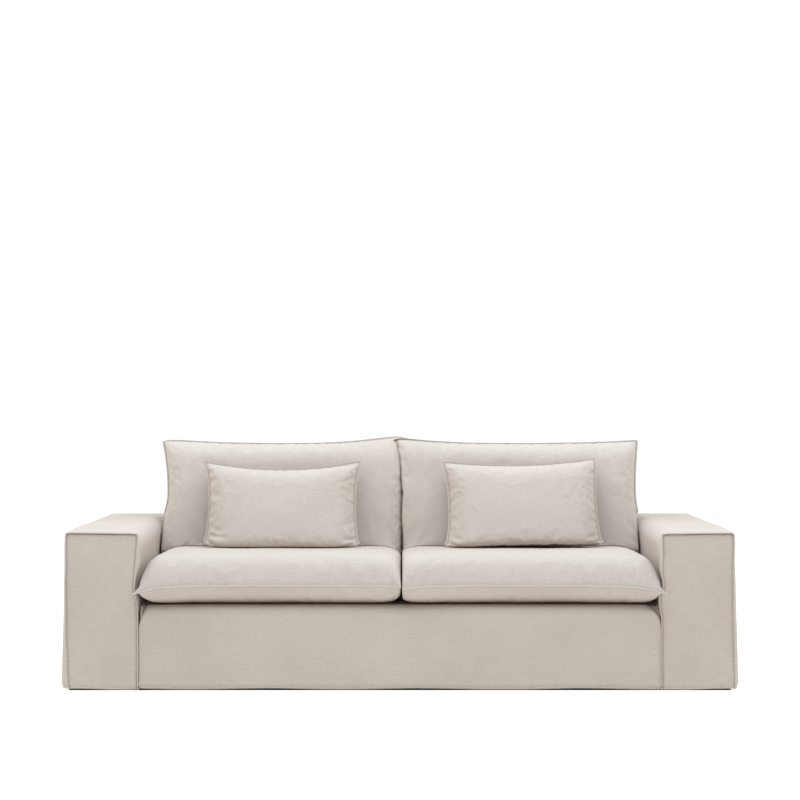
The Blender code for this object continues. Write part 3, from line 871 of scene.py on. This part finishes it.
rest = {  # how the cushions lie on and lean against things
    "onDeck": 0.0006,
    "onCushion": 0.0015,
    "beside": 0.0015,
    "squeeze": 0.007,
    "offBack": 0.003,
    "earCrossing": 0.09, "earBand": (0.845, 0.875),
    "finCrossing": 0.0035, "finBehind": 0.0035, "behindFade": 0.02,
    "overArm": 0.06, "overArmBand": (0.004, 0.05),  # above an arm a back may reach over it
    "besideFrom": -0.01,
    "seatSeam": 0.006,  # the seats meet this far right of the middle
    "backSeam": (  # and the backs along this wandering line, by height
        (0.49, 0.015), (0.57, 0.0105), (0.63, 0.012), (0.66, 0.0155),
        (0.7, 0.01), (0.74, 0.008), (0.8, 0.001), (0.85, -0.015),
    ),
}

relax = {  # the cloth simulation that lets the covers pucker along their seams
    "frames": 16,
    "cloth": {
        "quality": 4, "mass": 0.3, "tension_stiffness": 25, "compression_stiffness": 25,
        "shear_stiffness": 10, "bending_stiffness": 0.05, "use_pressure": True,
        "uniform_pressure_force": 0.6, "vertex_group_mass": "held", "pin_stiffness": 1,
        "vertex_group_shrink": "even",
    },
    "reach": 0.085,  # the surplus cloth dies out this far from a seam
    "within": 0.15,  # but for this share of it
    "cap": 0.008,  # no fold moves further than this
    "evenings": 14,
}


def seamSpacing(step, steps, finShare):  # a few steps over the fin, then closer near the seams
    edge = 1 - 2 * fin["steps"] / steps
    if abs(step) > edge:
        return math.copysign(1 - finShare * (1 - abs(step)) / (1 - edge), step)
    even = step / edge
    crowded = math.sin(math.pi / 2 * even)
    return (1 - finShare) * ((1 - fin["crowding"]) * even + fin["crowding"] * crowded)


def puff(share, finShare, power):
    inward = min(1.0, abs(share) / (1 - finShare))
    return (1 - inward ** power) ** (1 / fin["roundness"])


def softLimit(value, limit):
    knee = limit - rest["squeeze"]
    if value <= knee:
        return value
    return knee + rest["squeeze"] * (1 - math.exp((knee - value) / rest["squeeze"]))


def cushionPoint(shape, u, v, faceSide):
    depth, face = (shape["crown"], 0) if faceSide > 0 else (shape["belly"], 1)
    endPower = shape["fullness" if v > 0 else "lowFullness"][face]
    wide, long = shape["halfWide"], shape["halfLong"]
    finU, finV = fin["wide"] / wide, fin["wide"] / long
    rise = puff(u, finU, shape["sideFullness"][face]) * puff(v, finV, endPower)
    if faceSide > 0:
        rise *= 1 - shape["flattenRear"] * smooth(-0.75, 0.75, v)
    overFin = max(0.0, (abs(u) - 1) / finU + 1, (abs(v) - 1) / finV + 1)
    half = fin["baseHalf"] + (fin["middleHalf"] - fin["baseHalf"]) * math.sin(math.pi * overFin)
    drawWide = shape["drawOut"] if u > 0 else shape["drawIn"]
    drawLong = shape["drawHigh"] if v > 0 else shape["drawLow"]
    point = Vector((
        u * (wide - drawWide * (1 - v * v)),
        v * (long - drawLong * (1 - u * u)),
        faceSide * (half + depth * rise),
    ))
    if faceSide > 0:  # the filling sinks, and hangs a little over the lower seam
        point.y -= shape["slump"] * rise * smooth(0, 1, -v)
    for acrossName, endName, corner in shape["corners"]:
        across = 1 if acrossName == "out" else -1
        end = 1 if endName == "high" else -1
        reach = max(0.0, u * across) * max(0.0, v * end)
        near = reach ** corner.get("power", fin["earPower"])
        point.x += across * corner.get("out", 0) * near
        point.y += end * corner.get("along", 0) * near
        point.z += corner.get("off", 0) * near
        tip = reach ** corner.get("tipPower", fin["tipPower"]) * corner.get("trim", fin["earTrim"])
        point.x -= across * tip
        point.y -= end * tip
    nearSide = smooth(fin["wanderFrom"], 1, abs(u))
    nearEnd = smooth(fin["wanderFrom"], 1, abs(v))
    scale = fin["wanderScale"]
    sideway = cloud(v * long * scale, math.copysign(2, u), shape["seed"])
    endway = cloud(u * wide * scale, math.copysign(5, v), shape["seed"])
    point.z += fin["wander"] * (sideway * nearSide + endway * nearEnd)
    return point


def pucker(shape, u, v, faceSide):  # short folds that run in from a seam at right angles
    lift, seed = 0.0, shape["seed"]
    wide, long = shape["halfWide"], shape["halfLong"]
    across, up = u * wide, v * long
    least, more = fin["patchShare"]
    for name, share, half, along in (
        ("in", -u, wide, up), ("out", u, wide, up),
        ("low", -v, long, across), ("high", v, long, across),
    ):
        away = (1 - share) * half - fin["wide"]
        if 0 < away < fin["puckerEnd"]:
            rows = cloud(
                along / fin["puckerSpacing"], away * fin["puckerTurn"],
                seed * 5.1 + len(name) + faceSide,
            )
            patch = cloud(along * fin["patchScale"], faceSide * 3, seed + len(name))
            swell = away / fin["puckerReach"] * math.exp(1 - away / fin["puckerReach"])
            lift += shape["puckers"][name] * rows * swell * (least + more * patch)
    broad = sum(
        cloud(across * wave, up * wave, seed * 3.7 + wave + faceSide) / share
        for wave, share in fin["slackWaves"]
    )
    inFrom = min(wide - abs(across), long - abs(up))
    return lift + shape["slack"] * broad * smooth(fin["wide"], fin["slackFrom"], inFrom)


def seamShade(shape, u, v, away):  # painted shade: the stitched groove is painted in deep shade, and the fin less so
    if away >= 0:
        return shape["grooveShade"] * math.exp(-away * away)
    atTop = (1 - v) * shape["halfLong"] < (1 - abs(u)) * shape["halfWide"]
    finShade = shape["topFinShade" if atTop else "sideFinShade"]
    return shape["grooveShade"] + (finShade - shape["grooveShade"]) * (1 - smooth(-1.2, 0, away))


def cushionMesh(shape, side):
    lean = math.radians(shape["lean"])
    placed = panelFrame(
        xAxis, Vector((0, math.sin(lean), math.cos(lean))),
        Vector((0, -math.cos(lean), math.sin(lean))), Vector(shape["middle"]),
    ) @ Matrix.Rotation(math.radians(shape["turn"]), 4, "Z")
    wide, long = shape["halfWide"], shape["halfLong"]
    columns = round(2 * wide / shape["pitch"]) + 2 * fin["steps"]
    rows = round(2 * long / shape["pitch"]) + 2 * fin["steps"]
    finU, finV = fin["wide"] / wide, fin["wide"] / long
    us = [seamSpacing(2 * i / columns - 1, columns, finU) for i in range(columns + 1)]
    vs = [seamSpacing(2 * j / rows - 1, rows, finV) for j in range(rows + 1)]
    bm = bmesh.new()
    flat = bm.verts.layers.float_vector.new("flat")
    lifts = bm.verts.layers.float.new("pucker")
    weights = bm.verts.layers.deform.verify()
    rims = []
    for faceSide in (1, -1):
        made = bmesh.ops.create_grid(bm, x_segments=columns, y_segments=rows, size=1)["verts"]
        faces = {f for v in made for f in v.link_faces}
        if faceSide < 0:
            bmesh.ops.reverse_faces(bm, faces=list(faces))
        rims += [e for f in faces for e in f.edges if len(e.link_faces) == 1]
        runU = runningLength([cushionPoint(shape, u, 0, faceSide) for u in us])
        runV = runningLength([cushionPoint(shape, 0, v, faceSide) for v in vs])
        for v in made:
            i, j = round((v.co.x + 1) / 2 * columns), round((v.co.y + 1) / 2 * rows)
            u, w = us[i], vs[j]
            inFrom = min((1 - abs(u)) * wide, (1 - abs(w)) * long)
            # painted shade near the seams goes into the flat attribute's z
            shade = seamShade(shape, u, w, (inFrom - fin["wide"]) / fin["shadeWide"])
            rear = fin["rearCloth"] if faceSide < 0 else 0.0
            v[flat] = Vector((runU[i], runV[j] + rear, shade))
            near = 1 - smooth(fin["wide"], relax["reach"], inFrom)
            v[weights][0] = 1.0 if inFrom < fin["wide"] * 1.05 else 0.0
            v[weights][1] = (1 - relax["within"]) * (1 - near)
            v[lifts] = pucker(shape, u, w, faceSide)
            v.co = placed @ cushionPoint(shape, u, w, faceSide)
    bmesh.ops.bridge_loops(bm, edges=rims)
    bmesh.ops.recalc_face_normals(bm, faces=bm.faces)
    bm.normal_update()
    for v in bm.verts:
        v.co += v.normal * v[lifts]
    return bm


def relaxCover(piece, surplus):  # the cover has a little more cloth than its seams, so it gathers
    piece.vertex_groups.new(name="held")
    piece.vertex_groups.new(name="even")
    sim = piece.modifiers.new("relax", "CLOTH")
    for key, value in relax["cloth"].items():
        setattr(sim.settings, key, value)
    sim.settings.shrink_min = -surplus
    sim.settings.effector_weights.gravity = 0
    sim.point_cache.frame_start = 1
    sim.point_cache.frame_end = relax["frames"]
    for number in range(1, relax["frames"] + 1):
        scene.frame_set(number)
    settled = piece.evaluated_get(bpy.context.evaluated_depsgraph_get()).to_mesh()
    moves = [after.co - before.co for before, after in zip(piece.data.vertices, settled.vertices)]
    field = bmesh.new()
    field.from_mesh(piece.data)
    for v, move in zip(field.verts, moves):
        v.co = move
    for evening in range(relax["evenings"]):
        bmesh.ops.smooth_vert(
            field, verts=field.verts, factor=0.5, use_axis_x=True, use_axis_y=True, use_axis_z=True
        )
    for v, move, broad in zip(piece.data.vertices, moves, field.verts):
        step = move - broad.co  # the folds stay, and the cushion keeps its own broad form
        if move.length > 1e-7 and step.length > 1e-7:
            v.co += step * relax["cap"] * math.tanh(step.length / relax["cap"]) / step.length
    field.free()
    piece.modifiers.remove(sim)
    scene.frame_set(1)
    piece.vertex_groups.clear()


def pressAgainst(bm, surface, toward):
    for v in bm.verts:
        place = surface.ray_cast(v.co - toward, toward)[0]
        if place:
            limit = place.dot(toward) - rest["onCushion"]
            reach = v.co.dot(toward)
            v.co += toward * (softLimit(reach, limit) - reach)


def settleSeat(co, side):
    co.z = max(co.z, cover["deckTop"] + rest["onDeck"])
    co.x = -softLimit(-co.x, -rest["beside"] - side * rest["seatSeam"])
    if co.y > cover["frontY"] + rest["besideFrom"]:
        co.x = softLimit(co.x, cover["armIn"] - rest["beside"])


def settleBack(co, side):
    share = (co.z - cover["deckTop"]) / (cover["backTop"] - cover["deckTop"])
    co.y = min(co.y, cover["insideBackY"] + cover["rake"] * share - rest["offBack"])
    ear = rest["earCrossing"] * smooth(*rest["earBand"], co.z)
    crossing = max(ear, rest["finCrossing"])  # one cushion's seam lies over the other's
    shift = side * between(rest["backSeam"], co.z)
    beside = co.x - shift
    co.x = -softLimit(-co.x, crossing - shift)
    co.y -= side * rest["finBehind"] * (1 - smooth(0.0, rest["behindFade"], beside))
    low, high = (cover["armTop"] + rise for rise in rest["overArmBand"])
    over = rest["overArm"] * smooth(low, high, co.z)
    co.x = softLimit(co.x, cover["armIn"] - rest["beside"] + over)


def cushion(shape, side, settle, liesOn, leansOn):
    piece = addPiece(shape["name"], shape["node"], side, cushionMesh(shape, side))
    relaxCover(piece, shape["surplus"])
    bm = bmesh.new()
    bm.from_mesh(piece.data)
    for v in bm.verts if settle else ():
        v.co.x *= side
        settle(v.co, side)
        v.co.x *= side
    for surface in liesOn:
        pressAgainst(bm, surface, -zAxis)
    for surface in leansOn:
        pressAgainst(bm, surface, yAxis)
    addCreases(bm, shape["creases"][side])
    surface = BVHTree.FromBMesh(bm)
    bm.to_mesh(piece.data)
    bm.free()
    piece.data.shade_smooth()
    finer = piece.modifiers.new("finer", "SUBSURF")
    finer.levels = 1
    finer.render_levels = 1
    print(piece.name, "done")
    return surface


def buildCushions():
    seats, backs = [], []
    for side, own in ((1, {}), (-1, leftSeat)):
        seats.append(cushion(dict(seatCushion, seed=side, **own), side, settleSeat, [], []))
    for side, own in ((1, {}), (-1, leftBack)):
        shape = dict(backCushion, seed=2 * side, **own)
        backs.append(cushion(shape, side, settleBack, seats, []))
    for side, own in ((1, {}), (-1, leftLumbar)):
        cushion(dict(lumbarCushion, seed=3 * side, **own), side, None, seats, backs)


studio = {
    "walls": "#ffffff",  # a white room with bright far and side walls and a dark ceiling
    "farGlow": 1.13, "farBand": (0.1, 0.5),
    "nearGlow": 0.3,
    "sideGlow": 1.2, "sideBand": (0.45, 0.85),
    "sideShift": 0.06,  # the left one is nearer
    "ceilingGlow": 0.05, "ceilingBand": (0.35, 0.75),
    "floor": "#a0a09f",
    "floorGlow": 0.86,  # a light table, except where the sofa stands on it
    "footprint": (1.17, 0.5),
    "floorHalf": 40,
    "overhead": 284,  # one long cool softbox, high over the front of the sofa
    "overheadColour": "#e7f5ff",
    "overheadSize": (8, 2.9),
    "overheadAt": (0, -0.94, 3.9),
    "overheadTilt": 13,
}

camera = {  # level, straight on, and a little above the cushions
    "place": (0, -7.085, 1.034),
    "lens": 84.06,
    "sensor": 36,
    "shiftY": -0.00375,
}


def whitePaper(name, glow):  # matt photographer's paper
    return matt(name, {
        "Base Color": hexColour(studio["floor"]), "Roughness": 0.9, "Specular IOR Level": 0.0,
        "Emission Color": hexColour(studio["walls"]), "Emission Strength": glow,
    })[0]


def buildRoom():
    world = bpy.data.worlds.new("studio")
    world.use_nodes = True
    tree = world.node_tree
    back = tree.nodes["Background"]
    back.inputs["Color"].default_value = hexColour(studio["walls"])
    around = addNode(tree, "TexCoord", {}).outputs["Generated"]
    parts = addNode(tree, "SeparateXYZ", {"Vector": around}).outputs
    across = maths(tree, "ABSOLUTE", maths(tree, "SUBTRACT", parts["X"], studio["sideShift"]))
    glow = studio["nearGlow"]
    for value, wall in ((across, "side"), (parts["Z"], "ceiling"), (parts["Y"], "far")):
        band = studio[wall + "Band"]
        glow = mapped(tree, value, band, glow, studio[wall + "Glow"], "SMOOTHSTEP")
    tree.links.new(glow, back.inputs["Strength"])
    scene.world = world


def buildFloor():
    bm = bmesh.new()
    bmesh.ops.create_grid(bm, x_segments=1, y_segments=1, size=studio["floorHalf"])
    wide, deep = studio["footprint"]
    cutThrough(bm, xAxis, (-wide, wide))
    cutThrough(bm, yAxis, (-deep, deep))
    for face in bm.faces:
        middle = face.calc_center_median()
        face.material_index = int(abs(middle.x) < wide and abs(middle.y) < deep)
    mesh = bpy.data.meshes.new("studioFloor")
    bm.to_mesh(mesh)
    bm.free()
    mesh.materials.append(whitePaper("litPaper", studio["floorGlow"]))
    mesh.materials.append(whitePaper("shadedPaper", 0.0))
    addObject("studioFloor", mesh)


def buildLightAndCamera():
    soft = bpy.data.lights.new("overheadSoftbox", "AREA")
    soft.shape = "RECTANGLE"
    soft.size, soft.size_y = studio["overheadSize"]
    soft.energy = studio["overhead"]
    soft.color = hexColour(studio["overheadColour"])[:3]
    lamp = addObject("overheadSoftbox", soft)
    lamp.location = studio["overheadAt"]
    lamp.rotation_euler = (math.radians(studio["overheadTilt"]), 0, 0)

    lens = bpy.data.cameras.new("catalogueView")
    lens.lens = camera["lens"]
    lens.sensor_width = camera["sensor"]
    lens.shift_y = camera["shiftY"]
    view = addObject("catalogueView", lens)
    view.location = camera["place"]
    view.rotation_euler = (math.radians(90), 0, 0)
    scene.camera = view
    scene.view_settings.view_transform = "Standard"


buildCover()
buildCushions()
buildRoom()
buildFloor()
buildLightAndCamera()
print("studio done")
